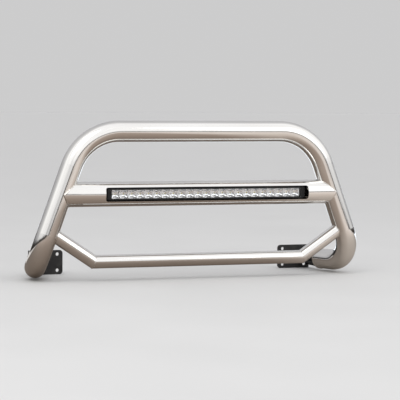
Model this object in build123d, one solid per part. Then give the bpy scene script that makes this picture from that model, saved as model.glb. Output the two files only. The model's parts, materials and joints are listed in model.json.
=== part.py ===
"""Front grille guard: a polished tube hoop with a crossbar that carries an aimable LED light bar.

Axes: +X across the vehicle (to the right as seen by somebody facing the guard), +Y rearward
into the vehicle, +Z up. All sizes are millimetres. The sizes below count Y from the plane of
the hoop and Z from the underside of its feet. The exported pieces count from the middle of
the mounting face, halfway between the two bracket pads and level with the foot axes.
"""
import os
from math import cos, radians, sin, tan

from build123d import *

# ---- hoop -------------------------------------------------------------------------------
HOOP_R = 38.1            # 76.2 mm tube
HOOP_WALL = 2.5
TOP_Z = 528.0            # axis of the top bar
TOP_CORNER_X = 438.0     # where the top bar and leg axes would meet
FOOT_CORNER_X = 618.0    # where the leg and foot axes would meet
FOOT_Z = HOOP_R
TOP_BEND_R = 185.0
FOOT_BEND_R = 120.0
FOOT_INWARD = radians(16.0)
FOOT_END_Y = 185.0

# ---- crossbar ---------------------------------------------------------------------------
CROSS_R = 44.45          # 88.9 mm tube
CROSS_WALL = 2.5
CROSS_Z = 305.0
EAR_DX = 38.0            # pointed ears that wrap the front and back of each leg
EAR_DZ = 44.5
WINDOW_L = 778.0         # opening in the front wall for the light
WINDOW_H = 50.0
WINDOW_CORNER_R = 9.0
LIGHT_X = 21.0           # the light and its opening sit this far off the middle

# ---- lower bar --------------------------------------------------------------------------
LOWER_R = 24.15          # 48.3 mm tube
LOWER_WALL = 2.0
LOWER_Z = 64.5
LOWER_CORNER_X = 401.0
LOWER_END_Z = 176.0      # where the rising ends meet the leg axis
JOINT_GAP = 0.05

# ---- feet and vehicle brackets ----------------------------------------------------------
CAP_T = 4.0
EASE = 0.8               # chamfer on plate edges
TANG_T = 8.0
TANG_H = 66.0
TANG_END_Y = 286.0
TANG_BOLT_Y = (214.0, 264.0)
BRACKET_T = 8.0
BRACKET_START_Y = 199.0
PAD_Y = 300.0            # front face of the bracket pad that bolts to the vehicle
PAD_W = 130.0
PAD_H = 90.0
PAD_HOLE_DX = 90.0
PAD_HOLE_DZ = 60.0
PAD_HOLE_R = 6.5
GUSSET_T = 6.0
GUSSET_SIZE = 62.0
M12_R = 6.0
M12_HOLE_R = 6.5
M12_WASHER_R = 12.0
M12_WASHER_T = 2.5
M12_HEX_R = 10.4         # across the corners / 2
M12_HEAD_T = 7.5
M12_NUT_T = 10.0

# ---- light bar, about its own tilt axis -------------------------------------------------
HOUSING_L = 740.0
HOUSING_H = 44.0
HOUSING_FRONT_Y = -20.0
HOUSING_BACK_Y = 22.0
WEB_FRONT_Y = -4.0
WEB_BACK_Y = 6.0
CAVITY_H = 36.0
FIN_COUNT = 7
FIN_T = 2.4
BEZEL_FRONT_Y = -26.0
BEZEL_BACK_Y = -21.0
LENS_FRONT_Y = -24.4
LENS_BACK_Y = -21.2
LENS_L = 734.0
LENS_H = 38.0
SIGHT_L = 726.0
SIGHT_H = 31.0
CELL_COUNT = 23
CELL_PITCH = 31.4
CELL_MOUTH_R = 15.0
CELL_THROAT_R = 3.2
REFLECTOR_FRONT_Y = -17.0
REFLECTOR_BACK_Y = -6.6
REFLECTOR_L = 724.0
REFLECTOR_H = 34.0
BOARD_L = 722.0
BOARD_H = 32.0
BOARD_T = 1.6
CHIP = 3.6
CHIP_T = 1.0
END_CAP_T = 10.0
SEAL_T = 0.8
PIVOT_R = 4.0
PIVOT_HEAD_R = 7.0
PIVOT_HEAD_T = 4.5
PIVOT_WASHER_R = 8.5
PIVOT_WASHER_T = 1.5
SCREW_R = 2.0
SCREW_HEAD_R = 2.8
SCREW_HEAD_T = 2.2
SCREW_YZ = ((-14.0, -19.2), (-14.0, 19.2), (13.0, -18.6), (13.0, 18.6))
GLAND_X = -230.0
VENT_X = 150.0
POCKET_W = 26.0

# ---- light brackets inside the crossbar -------------------------------------------------
EAR_T = 4.0
EAR_H = 24.0
EAR_FRONT_Y = -12.0
FOOT_PLATE_Y = 28.0
FOOT_PLATE_T = 4.0
FOOT_PLATE_L = 26.0
SPACER_R = 9.0
M8_R = 4.0
M8_HOLE_R = 4.3
M8_HEAD_R = 7.0
M8_HEAD_T = 4.4
M8_NUT_R = 7.5
M8_NUT_T = 5.0
SADDLE_R = 11.0
SADDLE_T = 2.5
GROMMET_R = 9.0
GROMMET_BORE_R = 5.0
GROMMET_LIP = 3.0
GROMMET_T = 1.6

FIT = 0.05               # radial room round a shaft in its hole
SIDES = (("left", -1), ("right", 1))


def leg_x(z):
    """X of the leg axis at height z."""
    t = (TOP_Z - z) / (TOP_Z - FOOT_Z)
    return TOP_CORNER_X + (FOOT_CORNER_X - TOP_CORNER_X) * t


def rod(start, end, r):
    """Solid cylinder between two points."""
    a = Vector(*start)
    d = Vector(*end) - a
    return Solid.make_cylinder(r, d.length, Plane(origin=a, z_dir=d))


def tube(start, end, r, wall):
    return rod(start, end, r) - rod(start, end, r - wall)


def box(x0, x1, y0, y1, z0, z1):
    """Box from its six face positions."""
    shape = Solid.make_box(x1 - x0, y1 - y0, z1 - z0)
    return shape.moved(Location((x0, y0, z0)))


def hex_rod(start, end, corner_r):
    """Hexagonal prism between two points."""
    a = Vector(*start)
    d = Vector(*end) - a
    face = Plane(origin=a, z_dir=d) * RegularPolygon(corner_r, 6)
    return extrude(face, d.length)


def hex_head(start, end, corner_r):
    """Hexagonal prism with its far corners turned off at 30 degrees."""
    a = Vector(*start)
    d = Vector(*end) - a
    flat_r = corner_r * cos(radians(30)) - 0.2
    fall = (corner_r - flat_r) * tan(radians(30))
    turned = Solid.make_cylinder(corner_r, d.length - fall, Plane(origin=a, z_dir=d))
    rim = Plane(origin=a + d.normalized() * (d.length - fall), z_dir=d)
    turned += Solid.make_cone(corner_r, flat_r, fall, rim)
    return hex_rod(start, end, corner_r) & turned


def ease_faces(plate, axis, size):
    """Chamfers the outlines of a plate's two end faces along an axis."""
    ends = plate.faces().sort_by(axis)
    edges = list(ends[0].outer_wire().edges()) + list(ends[-1].outer_wire().edges())
    return chamfer(edges, size)


def both_sides(make):
    """A group of the solids that make(side) returns for the two sides."""
    shapes = []
    for _, side in SIDES:
        shapes += make(side)
    return Compound(children=shapes)


# ---- hoop -------------------------------------------------------------------------------
def arc_at(before, corner, after, r):
    """Tangent points and mid point of a bend of radius r at a corner."""
    u = (before - corner).normalized()
    v = (after - corner).normalized()
    half = radians(u.get_angle(v)) / 2
    reach = r / tan(half)
    middle = (u + v).normalized() * (r / sin(half) - r)
    return corner + u * reach, corner + middle, corner + v * reach


def hoop_path():
    """Axis of the hoop, from beyond one foot's end to beyond the other's."""
    run = FOOT_END_Y + 60.0
    foot = Vector(FOOT_CORNER_X - run * tan(FOOT_INWARD), run, FOOT_Z)
    knee = Vector(FOOT_CORNER_X, 0, FOOT_Z)
    top = Vector(TOP_CORNER_X, 0, TOP_Z)
    right = [top, knee, foot]
    points = [Vector(-p.X, p.Y, p.Z) for p in reversed(right)] + right
    radii = (FOOT_BEND_R, TOP_BEND_R, TOP_BEND_R, FOOT_BEND_R)
    edges = []
    here = points[0]
    for i, r in enumerate(radii, start=1):
        a, m, b = arc_at(points[i - 1], points[i], points[i + 1], r)
        edges.append(Line(here, a))
        edges.append(ThreePointArc(a, m, b))
        here = b
    edges.append(Line(here, points[-1]))
    return Wire([e.edge() for e in edges])


def make_hoop():
    path = hoop_path()
    start = Plane(origin=path @ 0, z_dir=path % 0)
    ring = start * (Circle(HOOP_R) - Circle(HOOP_R - HOOP_WALL))
    hoop = sweep(ring, path=path)
    return hoop & box(-800, 800, -100, FOOT_END_Y, -100, 700)


def hoop_envelope():
    """Solid slightly fatter than the hoop, used to cope the bars that meet it."""
    path = hoop_path()
    start = Plane(origin=path @ 0, z_dir=path % 0)
    return sweep(start * Circle(HOOP_R + JOINT_GAP), path=path)


# ---- crossbar ---------------------------------------------------------------------------
def ear_outline():
    """Prism that trims the crossbar's ends to a point on each leg's axis."""
    x = leg_x(CROSS_Z)
    lean = (FOOT_CORNER_X - TOP_CORNER_X) / (TOP_Z - FOOT_Z)
    up = x - EAR_DX - lean * EAR_DZ
    down = x - EAR_DX + lean * EAR_DZ
    reach = 60.0
    points = [(-x, 0), (-up, EAR_DZ), (-up, reach), (up, reach), (up, EAR_DZ), (x, 0)]
    points += [(down, -EAR_DZ), (down, -reach), (-down, -reach), (-down, -EAR_DZ)]
    outline = make_face(Polyline(*points, close=True))
    return extrude(Plane.XZ.offset(-80) * Pos(0, CROSS_Z) * outline, 160)


def window(length, height, y0, y1, corner):
    """Rounded bar used for the light's opening."""
    face = Plane.XZ.offset(-y1) * Pos(LIGHT_X, CROSS_Z) * RectangleRounded(length, height, corner)
    return extrude(face, y1 - y0)


def make_crossbar():
    x = leg_x(CROSS_Z) + 5
    bar = tube((-x, 0, CROSS_Z), (x, 0, CROSS_Z), CROSS_R, CROSS_WALL)
    bar -= hoop_envelope()
    bar = bar & ear_outline()
    bar -= window(WINDOW_L, WINDOW_H, -60, -20, WINDOW_CORNER_R)
    for _, side in SIDES:
        x = foot_bolt_x(side)
        bar -= rod((x, 30, CROSS_Z), (x, 60, CROSS_Z), M8_HOLE_R)
    x = LIGHT_X + GLAND_X
    bar -= rod((x, 30, CROSS_Z), (x, 60, CROSS_Z), GROMMET_R)
    return bar


# ---- lower bar --------------------------------------------------------------------------
def lower_ends():
    corner = Vector(LOWER_CORNER_X, 0, LOWER_Z)
    end = Vector(leg_x(LOWER_END_Z), 0, LOWER_END_Z)
    return corner, end


def mitre_cut(side, keep_outer):
    """Half space on one side of the mitre plane at a corner of the lower bar."""
    corner, end = lower_ends()
    along = (end - corner).normalized()
    normal = (along + Vector(1, 0, 0)).normalized()
    plane = Plane(origin=corner, z_dir=normal if keep_outer else -normal)
    block = plane * Pos(0, 0, 200 - JOINT_GAP / 2) * Box(400, 400, 400)
    return block if side > 0 else mirror(block, Plane.YZ)


def make_lower_centre():
    x = LOWER_CORNER_X + 40
    bar = tube((-x, 0, LOWER_Z), (x, 0, LOWER_Z), LOWER_R, LOWER_WALL)
    for _, side in SIDES:
        bar -= mitre_cut(side, True)
    return bar


def make_lower_end(side):
    corner, end = lower_ends()
    along = (end - corner).normalized()
    start = corner - along * 40
    a = (side * start.X, 0, start.Z)
    b = (side * end.X, 0, end.Z)
    bar = tube(a, b, LOWER_R, LOWER_WALL)
    bar -= mitre_cut(side, False)
    return bar - hoop_envelope()


# ---- feet and vehicle brackets ----------------------------------------------------------
def foot_x():
    """X of the foot axis at its cut end."""
    return FOOT_CORNER_X - FOOT_END_Y * tan(FOOT_INWARD)


def make_stub_cap(side):
    x = side * foot_x()
    y = FOOT_END_Y + JOINT_GAP
    cap = rod((x, y, FOOT_Z), (x, y + CAP_T, FOOT_Z), HOOP_R + 0.6)
    return chamfer(cap.edges().sort_by(Axis.Y)[-1], EASE)


def bolt_x(side, offset):
    """X at a distance outboard of the tang's outboard face."""
    return side * (foot_x() + TANG_T / 2 + offset)


def make_tang(side):
    x = side * foot_x()
    y = FOOT_END_Y + CAP_T + 2 * JOINT_GAP
    half = TANG_T / 2
    plate = box(x - half, x + half, y, TANG_END_Y, FOOT_Z - TANG_H / 2, FOOT_Z + TANG_H / 2)
    rear = plate.edges().filter_by(Axis.X).group_by(Axis.Y)[-1]
    plate = ease_faces(fillet(rear, 14), Axis.X, EASE)
    for hole_y in TANG_BOLT_Y:
        plate -= rod((x - 9, hole_y, FOOT_Z), (x + 9, hole_y, FOOT_Z), M12_HOLE_R)
    return plate


def bracket_face_x():
    """X of the bracket face that lies against the tang, right-hand side."""
    return foot_x() - TANG_T / 2 - JOINT_GAP


def pad_centre_x():
    return bracket_face_x() - PAD_W / 2


def make_bracket(side):
    """Angle bracket: one leg bolts to the tang, the pad bolts to the vehicle."""
    x1 = bracket_face_x()
    x0 = x1 - BRACKET_T
    low = FOOT_Z - TANG_H / 2
    leg = box(x0, x1, BRACKET_START_Y, PAD_Y + BRACKET_T, low, low + TANG_H)
    leg = fillet(leg.edges().filter_by(Axis.X).group_by(Axis.Y)[0], 14)
    leg = ease_faces(leg, Axis.X, EASE)
    pad_low = FOOT_Z - PAD_H / 2
    pad = box(x1 - PAD_W, x1, PAD_Y, PAD_Y + BRACKET_T, pad_low, pad_low + PAD_H)
    pad = fillet(pad.edges().filter_by(Axis.Y).group_by(Axis.X)[0], 12)
    pad = ease_faces(pad, Axis.Y, EASE)
    body = leg + pad
    for hole_y in TANG_BOLT_Y:
        body -= rod((x0 - 2, hole_y, FOOT_Z), (x1 + 2, hole_y, FOOT_Z), M12_HOLE_R)
    for dx in (-PAD_HOLE_DX / 2, PAD_HOLE_DX / 2):
        for dz in (-PAD_HOLE_DZ / 2, PAD_HOLE_DZ / 2):
            x = pad_centre_x() + dx
            z = FOOT_Z + dz
            body -= rod((x, PAD_Y - 5, z), (x, PAD_Y + 15, z), PAD_HOLE_R)
    return body if side > 0 else mirror(body, Plane.YZ)


def make_gussets(side):
    """Two triangular ribs in the bracket's inner corner, above and below the bolts."""
    x = bracket_face_x() - BRACKET_T - JOINT_GAP
    y = PAD_Y - JOINT_GAP
    ribs = []
    outline = Polyline((x, y), (x - GUSSET_SIZE, y), (x, y - GUSSET_SIZE), close=True)
    for z in (FOOT_Z - 22, FOOT_Z + 16):
        rib = extrude(Pos(0, 0, z) * make_face(outline), GUSSET_T)
        ribs.append(rib if side > 0 else mirror(rib, Plane.YZ))
    return ribs


def make_tang_bolts(side):
    bolts = []
    reach = TANG_T + BRACKET_T + M12_WASHER_T + M12_NUT_T + 5
    for y in TANG_BOLT_Y:
        seat = (bolt_x(side, M12_WASHER_T), y, FOOT_Z)
        top = (bolt_x(side, M12_WASHER_T + M12_HEAD_T), y, FOOT_Z)
        end = (bolt_x(side, -reach), y, FOOT_Z)
        bolts.append(hex_head(seat, top, M12_HEX_R) + rod(seat, end, M12_R))
    return bolts


def make_tang_washers(side):
    inner = -(TANG_T + BRACKET_T + JOINT_GAP)
    washers = []
    for y in TANG_BOLT_Y:
        for a, b in ((0, M12_WASHER_T), (inner, inner - M12_WASHER_T)):
            start = (bolt_x(side, a), y, FOOT_Z)
            end = (bolt_x(side, b), y, FOOT_Z)
            washers.append(rod(start, end, M12_WASHER_R) - rod(start, end, M12_R + FIT))
    return washers


def make_tang_nuts(side):
    face = -(TANG_T + BRACKET_T + JOINT_GAP + M12_WASHER_T)
    nuts = []
    for y in TANG_BOLT_Y:
        start = (bolt_x(side, face), y, FOOT_Z)
        end = (bolt_x(side, face - M12_NUT_T), y, FOOT_Z)
        nuts.append(hex_head(start, end, M12_HEX_R) - rod(start, end, M12_R + FIT))
    return nuts


# ---- light brackets inside the crossbar -------------------------------------------------
def ear_x(side):
    """X of the ear face that the light's pivot washer bears on."""
    return LIGHT_X + side * (HOUSING_L / 2 + END_CAP_T + PIVOT_WASHER_T)


def foot_bolt_x(side):
    return ear_x(side) + side * (EAR_T + FOOT_PLATE_L / 2)


def ordered_box(xa, xb, y0, y1, z0, z1):
    return box(min(xa, xb), max(xa, xb), y0, y1, z0, z1)


def make_light_bracket(side):
    """Angle: an ear with the pivot hole and a foot bolted to the crossbar's rear wall."""
    x0 = ear_x(side) + side * 0.3
    x1 = x0 + side * EAR_T
    x2 = x0 + side * (EAR_T + FOOT_PLATE_L)
    z0 = CROSS_Z - EAR_H / 2
    z1 = CROSS_Z + EAR_H / 2
    back = FOOT_PLATE_Y + FOOT_PLATE_T
    ear = ordered_box(x0, x1, EAR_FRONT_Y, back, z0, z1)
    ear = fillet(ear.edges().filter_by(Axis.X).group_by(Axis.Y)[0], 10)
    foot = ordered_box(x0, x2, FOOT_PLATE_Y, back, z0, z1)
    body = ear + foot
    body -= rod((x0 - 10, 0, CROSS_Z), (x0 + 10, 0, CROSS_Z), PIVOT_R + FIT)
    x = foot_bolt_x(side)
    return body - rod((x, 20, CROSS_Z), (x, 40, CROSS_Z), M8_HOLE_R)


def shell(r0, r1, x):
    """Short length of tube about the crossbar's axis, centred on x."""
    return tube((x - 20, 0, CROSS_Z), (x + 20, 0, CROSS_Z), r1, r1 - r0)


def make_bracket_spacers(side):
    """Coped spacer between the bracket foot and the tube's inner wall."""
    x = foot_bolt_x(side)
    start = (x, FOOT_PLATE_Y + FOOT_PLATE_T + JOINT_GAP, CROSS_Z)
    body = rod(start, (x, 50, CROSS_Z), SPACER_R)
    body -= rod(start, (x, 50, CROSS_Z), M8_HOLE_R)
    inside = rod((x - 20, 0, CROSS_Z), (x + 20, 0, CROSS_Z), CROSS_R - CROSS_WALL - JOINT_GAP)
    return [body & inside]


def make_saddle_washers(side):
    """Washer curved to the tube on one face and flat for the bolt head on the other."""
    x = foot_bolt_x(side)
    start = (x, 30, CROSS_Z)
    end = (x, CROSS_R + SADDLE_T, CROSS_Z)
    body = rod(start, end, SADDLE_R) - rod(start, end, M8_R + FIT)
    return [body - rod((x - 20, 0, CROSS_Z), (x + 20, 0, CROSS_Z), CROSS_R + JOINT_GAP)]


def make_bracket_bolts(side):
    """Button-head bolts put in from behind the crossbar."""
    x = foot_bolt_x(side)
    seat_y = CROSS_R + SADDLE_T + JOINT_GAP
    seat = (x, seat_y, CROSS_Z)
    head = rod(seat, (x, seat_y + M8_HEAD_T, CROSS_Z), M8_HEAD_R)
    head = fillet(head.edges().sort_by(Axis.Y)[-1], 3.0)
    socket = hex_rod((x, seat_y + M8_HEAD_T - 2.4, CROSS_Z), (x, seat_y + 9, CROSS_Z), 2.9)
    shank = rod(seat, (x, FOOT_PLATE_Y - M8_NUT_T - 1, CROSS_Z), M8_R)
    return [head + shank - socket]


def make_bracket_nuts(side):
    x = foot_bolt_x(side)
    start = (x, FOOT_PLATE_Y - JOINT_GAP, CROSS_Z)
    end = (x, FOOT_PLATE_Y - M8_NUT_T, CROSS_Z)
    return [hex_head(start, end, M8_NUT_R) - rod(start, end, M8_R + FIT)]


def make_grommet():
    """Rubber grommet for the light's lead, gripping the tube's rear wall."""
    x = LIGHT_X + GLAND_X
    inner = CROSS_R - CROSS_WALL
    lip_r = GROMMET_R + GROMMET_LIP
    lip = rod((x, 20, CROSS_Z), (x, 60, CROSS_Z), lip_r)
    neck = rod((x, 20, CROSS_Z), (x, 60, CROSS_Z), GROMMET_R - FIT)
    body = lip & shell(CROSS_R + JOINT_GAP, CROSS_R + GROMMET_T, x)
    body += lip & shell(inner - GROMMET_T, inner - JOINT_GAP, x)
    body += neck & shell(inner - GROMMET_T, CROSS_R + GROMMET_T, x)
    body = body & box(x - 20, x + 20, 20, 60, CROSS_Z - 20, CROSS_Z + 20)
    return body - rod((x, 20, CROSS_Z), (x, 60, CROSS_Z), GROMMET_BORE_R)


# ---- light bar --------------------------------------------------------------------------
def light_box(length, y0, y1, height):
    """Block centred on the light, from its length, its Y faces and its height."""
    half = length / 2
    x = LIGHT_X
    return box(x - half, x + half, y0, y1, CROSS_Z - height / 2, CROSS_Z + height / 2)


def rear_pockets():
    """Places where the fins are cut back for the gland and the vent."""
    cuts = []
    for offset in (GLAND_X, VENT_X):
        x = LIGHT_X + offset
        half = POCKET_W / 2
        cuts.append(box(x - half, x + half, WEB_BACK_Y, 40, CROSS_Z - 15, CROSS_Z + 15))
    return cuts


def screw_at(side, y, dz, depth, r):
    """Rod going into the light from one end face."""
    x = LIGHT_X + side * (HOUSING_L / 2 + END_CAP_T)
    start = (x + side, y, CROSS_Z + dz)
    return rod(start, (x - side * depth, y, CROSS_Z + dz), r)


def make_housing():
    """Finned extrusion, open at the front, with screw ports at its four corners."""
    body = light_box(HOUSING_L, HOUSING_FRONT_Y, HOUSING_BACK_Y, HOUSING_H)
    body -= light_box(HOUSING_L + 2, HOUSING_FRONT_Y - 1, WEB_FRONT_Y, CAVITY_H)
    gap = (HOUSING_H - FIN_COUNT * FIN_T) / (FIN_COUNT - 1)
    half = HOUSING_L / 2 + 1
    for i in range(FIN_COUNT - 1):
        z0 = CROSS_Z - HOUSING_H / 2 + FIN_T + i * (FIN_T + gap)
        groove = box(LIGHT_X - half, LIGHT_X + half, WEB_BACK_Y, 30, z0, z0 + gap)
        body -= groove
    for cut in rear_pockets():
        body -= cut
    for _, side in SIDES:
        for y, dz in SCREW_YZ:
            body -= screw_at(side, y, dz, 26, SCREW_R + FIT)
    for offset, r in ((GLAND_X, 5.0), (VENT_X, 2.0)):
        x = LIGHT_X + offset
        body -= rod((x, -10, CROSS_Z), (x, 10, CROSS_Z), r)
    return body


def end_plate(side, near, far):
    """Plate with the end caps' outline, between two distances past the housing's end."""
    x0 = LIGHT_X + side * (HOUSING_L / 2 + near)
    x1 = LIGHT_X + side * (HOUSING_L / 2 + far)
    half = HOUSING_H / 2
    plate = ordered_box(x0, x1, BEZEL_FRONT_Y, HOUSING_BACK_Y, CROSS_Z - half, CROSS_Z + half)
    return fillet(plate.edges().filter_by(Axis.X), 4.0)


def make_end_cap_seals(side):
    seal = end_plate(side, JOINT_GAP, SEAL_T - JOINT_GAP)
    for y, dz in SCREW_YZ:
        seal -= screw_at(side, y, dz, END_CAP_T + 2, SCREW_R + FIT)
    return seal.solids()


def make_end_cap(side):
    x = LIGHT_X + side * HOUSING_L / 2
    x_out = x + side * END_CAP_T
    cap = end_plate(side, SEAL_T, END_CAP_T)
    outer = cap.faces().sort_by(Axis.X)[-1 if side > 0 else 0]
    cap = chamfer(outer.outer_wire().edges(), EASE)
    for y, dz in SCREW_YZ:
        cap -= screw_at(side, y, dz, END_CAP_T + 2, SCREW_R + FIT)
    return cap - rod((x - side * 2, 0, CROSS_Z), (x_out + side * 2, 0, CROSS_Z), PIVOT_R + FIT)


def make_end_cap_screws(side):
    x = LIGHT_X + side * (HOUSING_L / 2 + END_CAP_T + JOINT_GAP)
    screws = []
    for y, dz in SCREW_YZ:
        z = CROSS_Z + dz
        head = rod((x, y, z), (x + side * SCREW_HEAD_T, y, z), SCREW_HEAD_R)
        shank = rod((x, y, z), (x - side * 24, y, z), SCREW_R)
        screws.append(head + shank)
    return screws


def make_bezel():
    body = light_box(HOUSING_L, BEZEL_FRONT_Y, BEZEL_BACK_Y, HOUSING_H)
    body -= light_box(SIGHT_L, BEZEL_FRONT_Y - 1, 0, SIGHT_H)
    body -= light_box(LENS_L + 0.6, LENS_FRONT_Y - 0.1, 0, LENS_H + 0.6)
    front = body.faces().sort_by(Axis.Y)[0]
    return chamfer(front.outer_wire().edges(), 1.0)


def make_lens():
    return light_box(LENS_L, LENS_FRONT_Y, LENS_BACK_Y, LENS_H)


def make_gasket():
    y0 = BEZEL_BACK_Y + JOINT_GAP
    y1 = HOUSING_FRONT_Y - JOINT_GAP
    body = light_box(HOUSING_L, y0, y1, HOUSING_H)
    return body - light_box(SIGHT_L - 2, y0 - 1, y1 + 1, SIGHT_H)


def make_board():
    y1 = WEB_FRONT_Y - JOINT_GAP
    return light_box(BOARD_L, y1 - BOARD_T, y1, BOARD_H)


def cell_xs():
    first = LIGHT_X - CELL_PITCH * (CELL_COUNT - 1) / 2
    return [first + i * CELL_PITCH for i in range(CELL_COUNT)]


def make_chips():
    y1 = WEB_FRONT_Y - 2 * JOINT_GAP - BOARD_T
    half = CHIP / 2
    z = CROSS_Z
    chips = [box(x - half, x + half, y1 - CHIP_T, y1, z - half, z + half) for x in cell_xs()]
    return Compound(children=chips)


def make_reflector():
    """Strip of bright cups, one round each emitter."""
    depth = REFLECTOR_BACK_Y - REFLECTOR_FRONT_Y
    body = light_box(REFLECTOR_L, REFLECTOR_FRONT_Y, REFLECTOR_BACK_Y, REFLECTOR_H)
    for x in cell_xs():
        mouth = Plane(origin=(x, REFLECTOR_FRONT_Y, CROSS_Z), z_dir=(0, 1, 0))
        body -= Solid.make_cone(CELL_MOUTH_R, CELL_THROAT_R, depth, mouth)
    return body


def make_gland():
    """Empty cable gland on the light's back; the light's lead would leave here."""
    x = LIGHT_X + GLAND_X
    y = WEB_BACK_Y + JOINT_GAP
    body = hex_rod((x, y, CROSS_Z), (x, y + 7, CROSS_Z), 9.0)
    body += rod((x, y - 8, CROSS_Z), (x, y, CROSS_Z), 5.0 - FIT)
    body += rod((x, y + 7, CROSS_Z), (x, y + 17, CROSS_Z), 7.0)
    return body - rod((x, y - 12, CROSS_Z), (x, y + 20, CROSS_Z), 2.8)


def make_vent():
    x = LIGHT_X + VENT_X
    y = WEB_BACK_Y + JOINT_GAP
    body = rod((x, y, CROSS_Z), (x, y + 4, CROSS_Z), 6.0)
    return body + rod((x, y - 8, CROSS_Z), (x, y, CROSS_Z), 2.0 - FIT)


def make_pivot_bolts(side):
    """Bolts screwed into the end caps; the light tilts on them."""
    x = ear_x(side) + side * (EAR_T + 0.6)
    tip = LIGHT_X + side * (HOUSING_L / 2 + 1)
    head = rod((x, 0, CROSS_Z), (x + side * PIVOT_HEAD_T, 0, CROSS_Z), PIVOT_HEAD_R)
    outer = head.edges().sort_by(Axis.X)[-1 if side > 0 else 0]
    head = fillet(outer, 2.5)
    shank = rod((x, 0, CROSS_Z), (tip, 0, CROSS_Z), PIVOT_R)
    far = x + side * (PIVOT_HEAD_T + 1)
    socket = hex_rod((x + side * 2, 0, CROSS_Z), (far, 0, CROSS_Z), 2.9)
    return [head + shank - socket]


def make_pivot_washers(side):
    x = ear_x(side)
    start = (x - side * JOINT_GAP, 0, CROSS_Z)
    end = (x - side * (PIVOT_WASHER_T - JOINT_GAP), 0, CROSS_Z)
    return [rod(start, end, PIVOT_WASHER_R) - rod(start, end, PIVOT_R + FIT)]


def build_nodes():
    """Every node of the part, by name."""
    nodes = {
        "hoop_tube": make_hoop(),
        "crossbar_tube": make_crossbar(),
        "lower_bar_centre": make_lower_centre(),
        "tang_bolts": both_sides(make_tang_bolts),
        "tang_washers": both_sides(make_tang_washers),
        "tang_nuts": both_sides(make_tang_nuts),
        "bracket_spacers": both_sides(make_bracket_spacers),
        "saddle_washers": both_sides(make_saddle_washers),
        "bracket_bolts": both_sides(make_bracket_bolts),
        "bracket_nuts": both_sides(make_bracket_nuts),
        "cable_grommet": make_grommet(),
        "light_housing": make_housing(),
        "end_cap_seals": both_sides(make_end_cap_seals),
        "end_cap_screws": both_sides(make_end_cap_screws),
        "light_bezel": make_bezel(),
        "light_lens": make_lens(),
        "lens_gasket": make_gasket(),
        "led_board": make_board(),
        "led_chips": make_chips(),
        "reflector_strip": make_reflector(),
        "cable_gland": make_gland(),
        "vent_plug": make_vent(),
        "pivot_bolts": both_sides(make_pivot_bolts),
        "pivot_washers": both_sides(make_pivot_washers),
    }
    for name, side in SIDES:
        nodes["lower_bar_" + name] = make_lower_end(side)
        nodes["stub_cap_" + name] = make_stub_cap(side)
        nodes["mount_tang_" + name] = make_tang(side)
        nodes["frame_bracket_" + name] = make_bracket(side)
        nodes["bracket_gussets_" + name] = Compound(children=make_gussets(side))
        nodes["light_bracket_" + name] = make_light_bracket(side)
        nodes["end_cap_" + name] = make_end_cap(side)
    return nodes


def main():
    os.makedirs("parts", exist_ok=True)
    to_mount = Location((0, -(PAD_Y + BRACKET_T), -FOOT_Z))
    for name, shape in build_nodes().items():
        export_step(shape.moved(to_mount), "parts/" + name + ".step")


main()
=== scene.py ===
"""Looks of the front grille guard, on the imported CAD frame. Units are metres."""
import json
import math

import bmesh
import bpy
from mathutils import Matrix, Vector
from mathutils.bvhtree import BVHTree


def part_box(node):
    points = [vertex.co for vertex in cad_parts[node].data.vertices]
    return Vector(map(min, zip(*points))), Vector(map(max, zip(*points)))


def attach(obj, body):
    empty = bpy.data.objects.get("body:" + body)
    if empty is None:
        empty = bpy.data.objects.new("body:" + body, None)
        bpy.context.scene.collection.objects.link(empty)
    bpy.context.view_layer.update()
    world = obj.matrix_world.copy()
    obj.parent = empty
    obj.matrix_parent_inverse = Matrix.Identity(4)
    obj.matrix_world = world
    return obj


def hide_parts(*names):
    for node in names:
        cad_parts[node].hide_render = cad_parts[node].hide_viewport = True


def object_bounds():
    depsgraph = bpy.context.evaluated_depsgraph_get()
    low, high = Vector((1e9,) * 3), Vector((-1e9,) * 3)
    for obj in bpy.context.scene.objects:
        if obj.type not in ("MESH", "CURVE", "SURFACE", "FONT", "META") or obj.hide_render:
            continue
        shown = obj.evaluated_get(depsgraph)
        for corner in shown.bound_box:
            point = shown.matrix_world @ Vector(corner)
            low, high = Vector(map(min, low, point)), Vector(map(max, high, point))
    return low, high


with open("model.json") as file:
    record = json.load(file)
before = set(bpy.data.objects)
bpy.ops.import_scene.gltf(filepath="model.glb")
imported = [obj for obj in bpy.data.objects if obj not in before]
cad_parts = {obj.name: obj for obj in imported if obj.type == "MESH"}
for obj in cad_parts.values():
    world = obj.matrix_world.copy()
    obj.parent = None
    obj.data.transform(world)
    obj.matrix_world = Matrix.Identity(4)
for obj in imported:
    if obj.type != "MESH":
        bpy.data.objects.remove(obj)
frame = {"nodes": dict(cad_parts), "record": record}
CAD_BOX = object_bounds()
NODES = frame["nodes"]
FRAME_BODY = "guard_frame"
LIGHT_BODY = "light_bar"
SIDES = ("left", "right")
BAR_CLEAR_X = 0.43       # past the crossbar's opening
MITRE_CLEAR_X = 0.35     # past the lower bar's straight middle
SAME_PLACE = 1e-6        # corners this close are one


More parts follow.
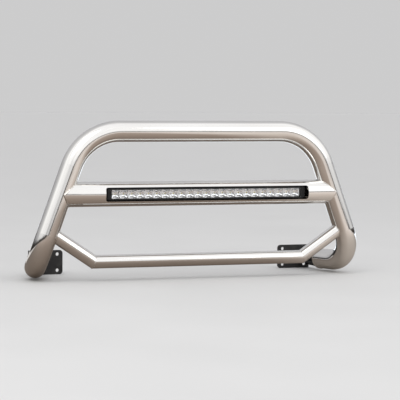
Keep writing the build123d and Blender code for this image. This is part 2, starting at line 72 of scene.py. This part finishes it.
# ---- material building ------------------------------------------------------------------
class Graph:
    """A node tree with short calls to add to it."""

    def __init__(self, tree, space="Object"):
        self.tree = tree
        self.space = space

    def node(self, kind, **props):
        made = self.tree.nodes.new(kind)
        for key, value in props.items():
            setattr(made, key, value)
        return made

    def link(self, source, target):
        self.tree.links.new(source, target)

    def coords(self, scale=(1, 1, 1)):
        """The tree's own coordinates, stretched by scale."""
        place = self.node("ShaderNodeMapping")
        place.inputs["Scale"].default_value = scale
        self.link(self.node("ShaderNodeTexCoord").outputs[self.space], place.inputs["Vector"])
        return place.outputs["Vector"]

    def axis(self, name):
        """One of the coordinates, X, Y or Z."""
        split = self.node("ShaderNodeSeparateXYZ")
        self.link(self.coords(), split.inputs[0])
        return split.outputs[name]

    def ray(self, kind):
        return self.node("ShaderNodeLightPath").outputs[kind]

    def noise(self, size, detail=3.0, rough=0.5, stretch=(1, 1, 1)):
        """Noise whose blobs are about size across."""
        made = self.node("ShaderNodeTexNoise")
        made.inputs["Scale"].default_value = 1 / size
        made.inputs["Detail"].default_value = detail
        made.inputs["Roughness"].default_value = rough
        self.link(self.coords(stretch), made.inputs["Vector"])
        return made.outputs["Fac"]

    def spread(self, source, low, high, start=0.3, end=0.7):
        """Maps source from start..end to low..high."""
        made = self.node("ShaderNodeMapRange")
        made.inputs["From Min"].default_value = start
        made.inputs["From Max"].default_value = end
        made.inputs["To Min"].default_value = low
        made.inputs["To Max"].default_value = high
        self.link(source, made.inputs["Value"])
        return made.outputs["Result"]

    def math(self, operation, a, b):
        made = self.node("ShaderNodeMath", operation=operation)
        for socket, value in zip(made.inputs, (a, b)):
            if isinstance(value, (int, float)):
                socket.default_value = value
            else:
                self.link(value, socket)
        return made.outputs["Value"]

    def mix_color(self, factor, a, b, blend="MIX"):
        made = self.node("ShaderNodeMix", data_type="RGBA", blend_type=blend)
        if isinstance(factor, (int, float)):
            made.inputs["Factor"].default_value = factor
        else:
            self.link(factor, made.inputs["Factor"])
        sockets = [s for s in made.inputs if s.type == "RGBA"]
        for socket, value in zip(sockets, (a, b)):
            if isinstance(value, tuple):
                socket.default_value = (*value, 1)
            else:
                self.link(value, socket)
        return [s for s in made.outputs if s.type == "RGBA"][0]

    def ramp(self, source, stops):
        """Color along a list of (position, color) stops."""
        made = self.node("ShaderNodeValToRGB")
        bar = made.color_ramp
        while len(bar.elements) < len(stops):
            bar.elements.new(0.5)
        for element, (at, color) in zip(bar.elements, stops):
            element.position = at
            element.color = (*color, 1)
        self.link(source, made.inputs["Fac"])
        return made.outputs["Color"]


class Mat(Graph):
    """A node material with a Principled shader."""

    def __init__(self, name, color, rough, metallic=0.0, **sockets):
        self.mat = bpy.data.materials.new(name)
        self.mat.use_nodes = True
        super().__init__(self.mat.node_tree)
        self.bsdf = self.tree.nodes["Principled BSDF"]
        self.bsdf.inputs["Base Color"].default_value = (*color, 1)
        self.bsdf.inputs["Roughness"].default_value = rough
        self.bsdf.inputs["Metallic"].default_value = metallic
        for key, value in sockets.items():
            self.bsdf.inputs[key.replace("_", " ")].default_value = value
        self.height = None

    def color(self, source):
        self.link(source, self.bsdf.inputs["Base Color"])

    def roughness(self, source):
        self.link(source, self.bsdf.inputs["Roughness"])

    def bump(self, source, strength, distance):
        made = self.node("ShaderNodeBump")
        made.inputs["Strength"].default_value = strength
        made.inputs["Distance"].default_value = distance
        self.link(source, made.inputs["Height"])
        if self.height:
            self.link(self.height, made.inputs["Normal"])
        self.height = made.outputs["Normal"]
        self.link(self.height, self.bsdf.inputs["Normal"])


def polished_steel():
    """Mirror-polished stainless tube: faint polishing lines, smears and dust."""
    m = Mat("polished stainless", (0.80, 0.785, 0.76), 0.05, 1.0)
    smear = m.noise(0.09, 4, 0.6)
    lines = m.noise(0.0012, 2, 0.6, (0.04, 1, 1))
    m.roughness(m.math("ADD", m.spread(smear, 0.025, 0.085), m.spread(lines, 0.0, 0.03)))
    tint = m.noise(0.25, 2, 0.5)
    m.color(m.mix_color(m.spread(tint, 0, 1), (0.79, 0.775, 0.75), (0.84, 0.83, 0.81)))
    m.bump(lines, 0.04, 0.0002)
    m.bump(m.noise(0.06, 2, 0.5), 0.05, 0.002)
    return m.mat


def weld_steel():
    """Dressed weld: the same steel, less even."""
    m = Mat("dressed weld", (0.70, 0.68, 0.65), 0.22, 1.0)
    grain = m.noise(0.003, 3, 0.6)
    m.roughness(m.spread(grain, 0.14, 0.34))
    m.color(m.mix_color(m.spread(m.noise(0.012), 0, 1), (0.60, 0.57, 0.53), (0.78, 0.77, 0.75)))
    m.bump(grain, 0.25, 0.0006)
    return m.mat


def powder_coat():
    """Satin black powder coat with orange peel and dust."""
    m = Mat("black powder coat", (0.02, 0.02, 0.021), 0.42)
    peel = m.noise(0.0022, 3, 0.55)
    dust = m.noise(0.03, 5, 0.65)
    m.roughness(m.spread(dust, 0.36, 0.56))
    m.color(m.mix_color(m.spread(dust, 0, 1, 0.45, 0.8), (0.017, 0.017, 0.018), (0.05, 0.048, 0.045)))
    m.bump(peel, 0.35, 0.0004)
    return m.mat


def plated(name, color, dark, rough):
    """Small plated or plain steel hardware."""
    m = Mat(name, color, rough, 1.0)
    blotch = m.noise(0.005, 4, 0.6)
    m.roughness(m.spread(blotch, rough * 0.7, rough * 1.5))
    m.color(m.mix_color(m.spread(blotch, 0, 1), color, dark))
    m.bump(m.noise(0.0008, 2), 0.15, 0.0002)
    return m.mat


def rubber():
    m = Mat("black rubber", (0.018, 0.018, 0.018), 0.7)
    grain = m.noise(0.0012, 3)
    m.roughness(m.spread(m.noise(0.02), 0.6, 0.82))
    m.color(m.mix_color(m.spread(grain, 0, 1), (0.014, 0.014, 0.014), (0.03, 0.03, 0.029)))
    m.bump(grain, 0.3, 0.0003)
    return m.mat


def anodised():
    """Black anodised extrusion with fine lines along its length."""
    m = Mat("black anodised", (0.012, 0.012, 0.013), 0.38, 0.6)
    lines = m.noise(0.0009, 2, 0.6, (0.02, 1, 1))
    m.roughness(m.spread(lines, 0.3, 0.48))
    m.color(m.mix_color(m.spread(m.noise(0.04), 0, 1), (0.010, 0.010, 0.011), (0.020, 0.020, 0.021)))
    m.bump(lines, 0.15, 0.0002)
    return m.mat


def satin_black(name, rough):
    """Moulded or painted black trim with a fine texture."""
    m = Mat(name, (0.009, 0.009, 0.0095), rough, Specular_IOR_Level=0.3)
    grain = m.noise(0.0011, 3)
    m.roughness(m.spread(m.noise(0.025, 4), rough * 0.85, rough * 1.25))
    m.color(m.mix_color(m.spread(grain, 0, 1), (0.007, 0.007, 0.0075), (0.014, 0.014, 0.014)))
    m.bump(grain, 0.12, 0.0002)
    return m.mat


def reflector_metal():
    """Vacuum-metallised plastic cups."""
    m = Mat("metallised reflector", (0.97, 0.97, 0.98), 0.14, 0.75)
    wave = m.noise(0.006, 2)
    m.roughness(m.spread(wave, 0.10, 0.18))
    m.color(m.mix_color(m.spread(wave, 0, 1), (0.965, 0.97, 0.975), (0.99, 0.99, 0.99)))
    m.bump(wave, 0.2, 0.0006)
    return m.mat


def phosphor():
    m = Mat("led phosphor", (0.85, 0.72, 0.25), 0.35)
    grain = m.noise(0.0006, 2)
    m.roughness(m.spread(grain, 0.25, 0.5))
    m.color(m.mix_color(m.spread(grain, 0, 1), (0.80, 0.66, 0.20), (0.92, 0.82, 0.36)))
    m.bump(grain, 0.2, 0.0001)
    return m.mat


def solder_mask():
    m = Mat("white solder mask", (0.80, 0.81, 0.79), 0.35)
    grain = m.noise(0.002, 3)
    m.roughness(m.spread(grain, 0.28, 0.45))
    m.color(m.mix_color(m.spread(grain, 0, 1), (0.76, 0.77, 0.75), (0.84, 0.85, 0.83)))
    m.bump(grain, 0.1, 0.0002)
    return m.mat


def clear_lens():
    """Clear polycarbonate: lets light straight through, with a gloss on top."""
    m = Mat("clear lens", (1, 1, 1), 0.03)
    out = m.tree.nodes["Material Output"]
    clear = m.node("ShaderNodeBsdfTransparent")
    clear.inputs["Color"].default_value = (0.985, 0.99, 0.995, 1)
    gloss = m.node("ShaderNodeBsdfGlossy")
    m.link(m.spread(m.noise(0.03, 4), 0.02, 0.08), gloss.inputs["Roughness"])
    edge = m.node("ShaderNodeFresnel")
    edge.inputs["IOR"].default_value = 1.5
    front = m.math("SUBTRACT", 1.0, m.node("ShaderNodeNewGeometry").outputs["Backfacing"])
    mix = m.node("ShaderNodeMixShader")
    m.link(m.math("MULTIPLY", edge.outputs["Fac"], front), mix.inputs[0])
    m.link(clear.outputs[0], mix.inputs[1])
    m.link(gloss.outputs[0], mix.inputs[2])
    m.link(mix.outputs[0], out.inputs["Surface"])
    m.tree.nodes.remove(m.bsdf)
    return m.mat


MATERIALS = {
    "polished_steel": polished_steel(),
    "black_coated_steel": powder_coat(),
    "black_bracket": powder_coat(),
    "zinc_steel": plated("zinc plate", (0.66, 0.66, 0.63), (0.50, 0.50, 0.46), 0.3),
    "stainless_hardware": plated("plain stainless", (0.70, 0.69, 0.67), (0.56, 0.55, 0.53), 0.22),
    "black_rubber": rubber(),
    "black_aluminium": anodised(),
    "black_bezel": satin_black("black bezel", 0.3),
    "clear_lens": clear_lens(),
    "board_white": solder_mask(),
    "led_yellow": phosphor(),
    "bright_reflector": reflector_metal(),
    "black_plastic": satin_black("black nylon", 0.5),
}
WELD = weld_steel()
BLACK_COAT = MATERIALS["black_coated_steel"]


def dress_nodes():
    """Gives every CAD node the finish of its record slot."""
    for part in frame["record"]["subparts"]:
        obj = NODES[part["node"]]
        obj.data.materials.clear()
        obj.data.materials.append(MATERIALS[part["material_slot"]])


# ---- pieces -----------------------------------------------------------------------------
CREASE = math.radians(40)


def add_piece(name, mesh, body, material):
    """Links a finished mesh as a piece that rides on a CAD body."""
    for face in mesh.polygons:
        face.use_smooth = True
    mesh.set_sharp_from_angle(angle=CREASE)
    obj = bpy.data.objects.new(name, mesh)
    bpy.context.scene.collection.objects.link(obj)
    mesh.materials.append(material)
    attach(obj, body)
    return obj


def mesh_from(name, bm):
    mesh = bpy.data.meshes.new(name)
    bmesh.ops.recalc_face_normals(bm, faces=bm.faces)
    bm.to_mesh(mesh)
    bm.free()
    return mesh


def node_bmesh(node):
    """The CAD node's mesh with its doubled corners joined."""
    bm = bmesh.new()
    bm.from_mesh(NODES[node].data)
    bmesh.ops.remove_doubles(bm, verts=bm.verts, dist=SAME_PLACE)
    return bm


def join_rings(bm, near, far):
    """Faces between two rings that have the same number of corners."""
    for k in range(len(near)):
        m = (k + 1) % len(near)
        bm.faces.new((near[k], near[m], far[m], far[k]))


# ---- welds ------------------------------------------------------------------------------
SHARP = math.radians(25)
CROSSBAR_BEAD = 0.0019       # bead radii
LOWER_BAR_BEAD = 0.0018
MITRE_BEAD = 0.0009
FOOT_CAP_BEAD = 0.0017
TANG_BEAD = 0.003
GUSSET_BEAD = 0.0022
BEAD_OVERLAP = 0.0003        # how far a bead reaches past the gap that it fills
BEAD_SIDES = 12
BEAD_TAPER = (0.35, 0.75, 0.93)   # thinning of the first and last rings of an open bead
LEAST_RINGS = 8              # a shorter line gets no bead
WELD_STEP = 0.0008
WELD_RIPPLE = 0.0024
RIPPLE_DEPTH = 0.00012
EASE_ROUNDS = 6
TOUCHING = 0.0003            # edges this near a face lie on it
RIM_DEPTH = 0.0004           # edges this far inside a tube's radius still count as its rim
HOOP_REACH = 0.006           # the lower bar's coped rims lie this near the hoop
LEAST_RIB_EDGE = 0.02


def sharp_edges(node, keep):
    """Sharp edges of a CAD node that pass keep at both ends and in the middle."""
    bm = node_bmesh(node)
    bm.verts.index_update()
    kept = []
    for edge in bm.edges:
        if len(edge.link_faces) != 2 or edge.calc_face_angle(0) < SHARP:
            continue
        a, b = edge.verts
        if keep(a.co) and keep(b.co) and keep((a.co + b.co) / 2):
            kept.append((a.index, b.index))
    points = [v.co.copy() for v in bm.verts]
    bm.free()
    return points, kept


def sharp_chains(node, keep):
    """The same edges joined end to end, as lists of points, with whether each is a loop."""
    points, edges = sharp_edges(node, keep)
    joined = {}
    for a, b in edges:
        joined.setdefault(a, []).append(b)
        joined.setdefault(b, []).append(a)
    chains = []
    starts = sorted(joined, key=lambda i: (len(joined[i]) != 1, i))
    used = set()
    for start in starts:
        if start in used:
            continue
        chain = [start]
        used.add(start)
        while True:
            ahead = [i for i in joined[chain[-1]] if i not in used]
            if not ahead:
                break
            chain.append(ahead[0])
            used.add(ahead[0])
        closed = len(chain) > 2 and start in joined[chain[-1]]
        chains.append(([points[i] for i in chain], closed))
    return chains


def resample(points, closed, step):
    """The same line with evenly spaced points, its corners eased."""
    line = points + [points[0]] if closed else points
    lengths = [(b - a).length for a, b in zip(line, line[1:])]
    total = sum(lengths)
    count = max(4, round(total / step))
    made = []
    at = 0
    passed = 0.0
    for i in range(count if closed else count + 1):
        want = total * i / count
        while at < len(lengths) - 1 and passed + lengths[at] < want:
            passed += lengths[at]
            at += 1
        t = (want - passed) / lengths[at] if lengths[at] else 0
        made.append(line[at].lerp(line[at + 1], min(1, max(0, t))))
    for _ in range(EASE_ROUNDS):
        size = len(made)
        inner = range(size) if closed else range(1, size - 1)
        eased = list(made)
        for i in inner:
            eased[i] = made[i] * 0.5 + (made[i - 1] + made[(i + 1) % size]) * 0.25
        made = eased
    return made


def add_bead_ring(bm, centre, side, up, radius):
    """Ring of corners round one point of a bead's line."""
    ring = []
    for k in range(BEAD_SIDES):
        turn = 2 * math.pi * k / BEAD_SIDES
        out = side * math.cos(turn) + up * math.sin(turn)
        ring.append(bm.verts.new(centre + out * radius))
    return ring


def sweep_tube(bm, centres, radii, closed):
    """Adds a round tube along a line, with a radius for each point."""
    size = len(centres)
    rings = []
    side = None
    for i, centre in enumerate(centres):
        before = centres[i - 1] if closed or i else centre
        after = centres[(i + 1) % size] if closed or i < size - 1 else centre
        along = (after - before).normalized()
        if side is None:
            side = along.orthogonal().normalized()
        side = (side - along * side.dot(along)).normalized()
        rings.append(add_bead_ring(bm, centre, side, along.cross(side), radii[i]))
    for here, there in zip(rings, rings[1:]):
        join_rings(bm, here, there)
    if closed:
        gaps = [(rings[-1][0].co - corner.co).length for corner in rings[0]]
        shift = gaps.index(min(gaps))
        join_rings(bm, rings[-1], rings[0][shift:] + rings[0][:shift])
    else:
        bm.faces.new(reversed(rings[0]))
        bm.faces.new(rings[-1])


def surface_tree(node):
    bm = node_bmesh(node)
    tree = BVHTree.FromBMesh(bm)
    bm.free()
    return tree


def nearness(node, reach):
    """Test for points within reach of a CAD node's surface."""
    tree = surface_tree(node)

    def test(p):
        return (tree.find_nearest(p)[0] - p).length < reach
    return test


def outer_loops(node, keep):
    """The longest chain on each side of the middle: a tube end's outer rim, not its bore."""
    longest = {}
    for chain in sharp_chains(node, keep):
        points = chain[0]
        side = points[0].x > 0
        length = sum((b - a).length for a, b in zip(points, points[1:]))
        if length > longest.get(side, (0, None))[0]:
            longest[side] = (length, chain)
    return [chain for _, chain in longest.values()]


def straight_edges(node, keep, least):
    """Each kept edge longer than least, on its own."""
    points, edges = sharp_edges(node, keep)
    lines = [([points[a], points[b]], False) for a, b in edges]
    return [line for line in lines if (line[0][0] - line[0][1]).length > least]


def front_chains(node):
    """Sharp chains that lie in a CAD node's front face."""
    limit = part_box(node)[0].y + TOUCHING
    return sharp_chains(node, lambda p: p.y < limit)


def weld(name, chains, onto, radius, material=WELD):
    """A rippled bead along each chain, filling the gap to the piece it is welded to."""
    tree = surface_tree(onto)
    bm = bmesh.new()
    for points, closed in chains:
        line = resample(points, closed, WELD_STEP)
        if len(line) < LEAST_RINGS:
            continue
        centres = []
        radii = []
        for i, point in enumerate(line):
            hit = tree.find_nearest(point)[0]
            centres.append((point + hit) / 2)
            ripple = abs(math.sin(math.pi * i * WELD_STEP / WELD_RIPPLE))
            gap = (point - hit).length / 2
            radii.append(max(radius, gap + BEAD_OVERLAP) + RIPPLE_DEPTH * (ripple - 1))
        if not closed:
            for k, taper in enumerate(BEAD_TAPER):
                radii[k] *= taper
                radii[-1 - k] *= taper
        sweep_tube(bm, centres, radii, closed)
    for v in bm.verts:
        v.co.y = max(v.co.y, CAD_BOX[0].y)      # no bead stands past the CAD box
    add_piece(name, mesh_from(name, bm), FRAME_BODY, material)


def on_cylinder(axis_y, axis_z, radius):
    """Test for points on a tube that runs along X."""
    def test(p):
        return math.hypot(p.y - axis_y, p.z - axis_z) > radius - RIM_DEPTH
    return test


def weld_side(side, mitres):
    """Beads of one side: the lower bar's end and mitre, the foot's cap, the tang and the ribs."""
    lower = "lower_bar_" + side
    bracket = "frame_bracket_" + side
    cap = "stub_cap_" + side
    sign = -1 if side == "left" else 1
    rims = outer_loops(lower, nearness("hoop_tube", HOOP_REACH))
    weld("lower_bar_weld_" + side, rims, "hoop_tube", LOWER_BAR_BEAD)
    own = [chain for chain in mitres if chain[0][0].x * sign > 0]
    weld("mitre_weld_" + side, own, lower, MITRE_BEAD)
    weld("foot_cap_weld_" + side, front_chains(cap), "hoop_tube", FOOT_CAP_BEAD)
    weld("tang_weld_" + side, front_chains("mount_tang_" + side), cap, TANG_BEAD)
    ribs = straight_edges("bracket_gussets_" + side, nearness(bracket, TOUCHING), LEAST_RIB_EDGE)
    weld("gusset_welds_" + side, ribs, bracket, GUSSET_BEAD, BLACK_COAT)


def make_welds():
    low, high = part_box("crossbar_tube")
    mid = (low + high) / 2
    outside = on_cylinder(mid.y, mid.z, (high.z - low.z) / 2)
    ends = outer_loops("crossbar_tube", lambda p: abs(p.x) > BAR_CLEAR_X and outside(p))
    weld("crossbar_welds", ends, "hoop_tube", CROSSBAR_BEAD)
    mitres = outer_loops("lower_bar_centre", lambda p: abs(p.x) > MITRE_CLEAR_X)
    for side in SIDES:
        weld_side(side, mitres)


# ---- the light's cups and emitters ------------------------------------------------------
CELLS = 23
CUP_SIDES = 48
CUP_LEVELS = 14
CUP_LIFT = 0.0007        # from the strip's rear face to the narrow ends of the cups
CUP_MARGIN = 0.0004
THROAT_R = 0.0034
ROUND = 2                # power of a squircle that is a circle
SQUARER = 4              # added to it by the cup's mouth
PACKAGE_BASE = 0.45      # share of an LED's depth taken by its base
DOME_SHARE = 0.86        # dome's width over the base's
DOME_STEPS = 6
DOME_SIDES = 20


def squircle(angle, half_x, half_z, power):
    """Point of a rounded rectangle in a given direction."""
    c, s = math.cos(angle), math.sin(angle)
    reach = (abs(c) ** power + abs(s) ** power) ** (-1 / power)
    return half_x * c * reach, half_z * s * reach


def rectangle_edge(angle, half_x, half_z):
    """Point of a rectangle in a given direction, moved to the corner when that is nearest."""
    c, s = math.cos(angle), math.sin(angle)
    corner = math.atan2(half_z, half_x)
    if abs(math.atan2(abs(s), abs(c)) - corner) < math.pi / CUP_SIDES:
        return math.copysign(half_x, c), math.copysign(half_z, s)
    reach = min(half_x / max(abs(c), 1e-9), half_z / max(abs(s), 1e-9))
    return c * reach, s * reach


def cell_centres():
    low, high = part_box("led_chips")
    half = (high.z - low.z) / 2
    first, last = low.x + half, high.x - half
    return [first + (last - first) * i / (CELLS - 1) for i in range(CELLS)]


def add_ring(bm, x, y, z, point_at):
    """Ring of corners in a plane across Y; point_at gives each one's offset from its angle."""
    ring = []
    for k in range(CUP_SIDES):
        px, pz = point_at(2 * math.pi * (k + 0.5) / CUP_SIDES)
        ring.append(bm.verts.new((x + px, y, z + pz)))
    return ring


def add_cup(bm, x, pitch, y0, y1, z, half_z):
    """One cell of the strip: a parabolic cup, the front round its mouth and the back."""
    half_x = pitch / 2 - CUP_MARGIN
    mouth_z = half_z - CUP_MARGIN * 2
    throat_y = y1 - CUP_LIFT

    def border(angle):
        return rectangle_edge(angle, pitch / 2, half_z)

    def throat(angle):
        return squircle(angle, THROAT_R, THROAT_R, ROUND)

    rings = [add_ring(bm, x, y1, z, border), add_ring(bm, x, y1, z, throat)]
    for level in range(CUP_LEVELS + 1):
        t = level / CUP_LEVELS
        wide = THROAT_R + (half_x - THROAT_R) * t
        tall = THROAT_R + (mouth_z - THROAT_R) * t

        def wall(angle):
            return squircle(angle, wide, tall, ROUND + SQUARER * t)

        rings.append(add_ring(bm, x, throat_y - (throat_y - y0) * t * t, z, wall))
    rings.append(add_ring(bm, x, y0, z, border))
    for near, far in zip(rings, rings[1:]):
        join_rings(bm, near, far)


def make_reflector():
    """A moulded strip of cups with rounded square mouths, closed round its edge."""
    low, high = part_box("reflector_strip")
    z = (low.z + high.z) / 2
    half_z = (high.z - low.z) / 2
    xs = cell_centres()
    bm = bmesh.new()
    for x in xs:
        add_cup(bm, x, xs[1] - xs[0], low.y, high.y, z, half_z)
    bmesh.ops.remove_doubles(bm, verts=bm.verts, dist=SAME_PLACE)
    rim = [edge for edge in bm.edges if edge.is_boundary]
    bmesh.ops.bridge_loops(bm, edges=rim)
    mesh = mesh_from("reflector_cups", bm)
    slot = "bright_reflector"
    cups = add_piece("reflector_cups", mesh, LIGHT_BODY, MATERIALS[slot])
    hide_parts("reflector_strip")


def add_package(bm, x, y0, y1, z, half):
    """One LED package: a square base with a round dome on it."""
    base_y = y1 - (y1 - y0) * PACKAGE_BASE
    middle = Vector((x, (base_y + y1) / 2, z))
    size = Vector((half * 2, y1 - base_y, half * 2))
    for v in bmesh.ops.create_cube(bm, size=1)["verts"]:
        v.co = middle + v.co * size
    rings = []
    for i in range(DOME_STEPS):
        lift = math.pi / 2 * i / DOME_STEPS
        y = base_y - math.sin(lift) * (base_y - y0)
        r = half * DOME_SHARE * math.cos(lift)
        turns = [2 * math.pi * k / DOME_SIDES for k in range(DOME_SIDES)]
        rings.append([bm.verts.new((x + r * math.cos(a), y, z + r * math.sin(a))) for a in turns])
    top = bm.verts.new((x, y0, z))
    for near, far in zip(rings, rings[1:]):
        join_rings(bm, near, far)
    for k in range(DOME_SIDES):
        bm.faces.new((rings[-1][k], rings[-1][(k + 1) % DOME_SIDES], top))
    bm.faces.new(reversed(rings[0]))


def make_emitters():
    low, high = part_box("led_chips")
    bm = bmesh.new()
    for x in cell_centres():
        add_package(bm, x, low.y, high.y, (low.z + high.z) / 2, (high.z - low.z) / 2)
    mesh = mesh_from("led_emitters", bm)
    leds = add_piece("led_emitters", mesh, LIGHT_BODY, MATERIALS["led_yellow"])
    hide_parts("led_chips")


# ---- light and setting ------------------------------------------------------------------
BACKDROP = (0.606, 0.605, 0.607)
FLOOR_HALF = 60.0
SKYLINE = 0.010          # how far the dark line of the horizon wanders
SKYLINE_BUMP = 1 / 14    # and how wide its bumps are
HORIZON = 0.4945
SIDE_RISE = 0.62         # share taken off heights to the sides, which lifts the skyline there
AHEAD_X = 0.33           # the skyline is lowest round here
ASIDE = (0.3, 0.7)       # and lifts from here to there, measured from AHEAD_X
CLOUD_SIZE = 0.22
SKY = (
    (0.490, (0.33, 0.27, 0.22)),
    (HORIZON, (0.07, 0.06, 0.055)),
    (0.5160, (0.08, 0.075, 0.07)),
    (0.5280, (0.80, 0.80, 0.81)),
    (0.570, (1.21, 1.21, 1.21)),
    (1.000, (1.17, 1.17, 1.19)),
)
CLOUDS = (0.90, 1.03)    # how much the open sky varies
REAR = (
    (0.50, (1.00, 1.00, 1.00)),
    (0.57, (0.85, 0.85, 0.85)),
    (0.64, (0.64, 0.64, 0.645)),
    (0.78, (0.52, 0.52, 0.53)),
    (1.00, (0.46, 0.46, 0.47)),
)
# Painted reflection with painted shade: the tan ground the floor shows to glossy rays only. It darkens
# towards the guard, is darkest under and just behind it, and is pale further back.
PAINTED_GROUND_REFLECTION = (
    (0.00, (0.310, 0.248, 0.204)),
    (0.22, (0.330, 0.262, 0.215)),
    (0.36, (0.280, 0.215, 0.170)),
    (0.46, (0.185, 0.145, 0.115)),
    (0.62, (0.110, 0.088, 0.068)),
    (0.68, (0.800, 0.770, 0.740)),
)
PAINTED_GROUND_REACH = 3.0       # half the stretch of floor, in front and behind, that the painted ground reflection covers
PAINTED_PALER_SPAN = (0.3, 0.6)             # from here to there along X the painted ground reflection grows paler
PAINTED_PALER_GAIN = (2.05, 2.30, 2.55)     # by this much, and less warm: a painted lightening of the reflection


def make_world():
    """Bright sky over a dark uneven skyline for the reflections; a plain pale backdrop to the eye."""
    world = bpy.data.worlds.new("studio")
    bpy.context.scene.world = world
    world.use_nodes = True
    g = Graph(world.node_tree, "Generated")
    aside = g.math("ABSOLUTE", g.math("SUBTRACT", g.axis("X"), AHEAD_X), 0)
    above = g.math("SUBTRACT", g.spread(g.axis("Z"), 0, 1, -1, 1), HORIZON)
    lift = g.math("MULTIPLY", above, g.spread(aside, 1, 1 - SIDE_RISE, *ASIDE))
    wander = g.spread(g.noise(SKYLINE_BUMP, 5), HORIZON - SKYLINE, HORIZON + SKYLINE)
    sky = g.ramp(g.math("ADD", lift, wander), SKY)
    behind = g.ramp(g.spread(g.axis("Y"), 0, 1, -1, 1), REAR)
    clouds = g.spread(g.noise(CLOUD_SIZE, 3, 0.6), *CLOUDS)
    shaded = g.mix_color(1.0, g.mix_color(1.0, sky, behind, "MULTIPLY"), clouds, "MULTIPLY")
    seen = g.mix_color(g.ray("Is Camera Ray"), shaded, BACKDROP)
    g.link(seen, g.tree.nodes["Background"].inputs["Color"])


def make_floor(height):
    """Plain pale floor. To glossy rays it shows a painted reflection of open ground: warm in front, with
    painted shade under and just behind the guard, and painted paler to the right.
    """
    half = FLOOR_HALF
    mesh = bpy.data.meshes.new("floor")
    corners = [(x, y, height) for x, y in ((-half, -half), (half, -half), (half, half), (-half, half))]
    mesh.from_pydata(corners, [], [(0, 1, 2, 3)])
    floor = bpy.data.objects.new("floor", mesh)
    bpy.context.scene.collection.objects.link(floor)
    m = Mat("pale floor", (0.65, 0.65, 0.65), 0.6)
    grain = m.noise(0.5, 4)
    seen = m.mix_color(m.spread(grain, 0, 1), (0.645, 0.643, 0.637), (0.665, 0.663, 0.657))
    # Painted reflection: glossy rays see this tan ground, with its painted shade under the guard, in
    # place of the pale floor.
    painted_reflection = m.ramp(m.spread(m.axis("Y"), 0, 1, -PAINTED_GROUND_REACH, PAINTED_GROUND_REACH), PAINTED_GROUND_REFLECTION)
    # Painted reflection: towards +X the reflected ground is painted paler and less warm.
    paler_reflection_mask = m.spread(m.axis("X"), 0, 1, *PAINTED_PALER_SPAN)
    paler_reflection = m.ramp(paler_reflection_mask, ((0.0, (1, 1, 1)), (1.0, PAINTED_PALER_GAIN)))
    m.color(m.mix_color(m.ray("Is Glossy Ray"), seen, m.mix_color(1.0, painted_reflection, paler_reflection, "MULTIPLY")))
    m.roughness(m.spread(grain, 0.6, 0.75))
    mesh.materials.append(m.mat)


LAMP_AIM = Vector((0, 0, 0.2))
LAMP_SIZE = 3.0


def area_light(name, at, power):
    """A square soft light aimed at the guard."""
    data = bpy.data.lights.new(name, "AREA")
    data.shape = "SQUARE"
    data.size = LAMP_SIZE
    data.energy = power
    lamp = bpy.data.objects.new(name, data)
    bpy.context.scene.collection.objects.link(lamp)
    lamp.location = at
    lamp.rotation_euler = (LAMP_AIM - Vector(at)).to_track_quat("-Z", "Y").to_euler()


CAMERA_AT = Vector((-2.2523, -6.5048, 0.6188))
CAMERA_ROLL = math.radians(0.4)
LENS = 164.0
SENSOR_WIDTH = 36.0
CLIP_END = 200.0


def make_camera():
    low, high = CAD_BOX
    bar_low, bar_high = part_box("crossbar_tube")
    target = Vector((0.0, (bar_low.y + bar_high.y) / 2, (low.z + high.z) / 2))
    data = bpy.data.cameras.new("camera")
    data.lens = LENS
    data.sensor_width = SENSOR_WIDTH
    data.clip_end = CLIP_END
    cam = bpy.data.objects.new("camera", data)
    bpy.context.scene.collection.objects.link(cam)
    cam.location = CAMERA_AT
    aim = (target - CAMERA_AT).to_track_quat("-Z", "Y").to_matrix()
    cam.rotation_euler = (aim @ Matrix.Rotation(CAMERA_ROLL, 3, "Z")).to_euler()
    bpy.context.scene.camera = cam


def main():
    dress_nodes()
    make_welds()
    make_reflector()
    make_emitters()
    make_world()
    make_floor(CAD_BOX[0].z)
    area_light("key", (-2.5, -3.0, 4.0), 60)
    area_light("fill", (3.0, -4.0, 2.5), 30)
    make_camera()
    bpy.context.scene.view_settings.view_transform = "Standard"


main()
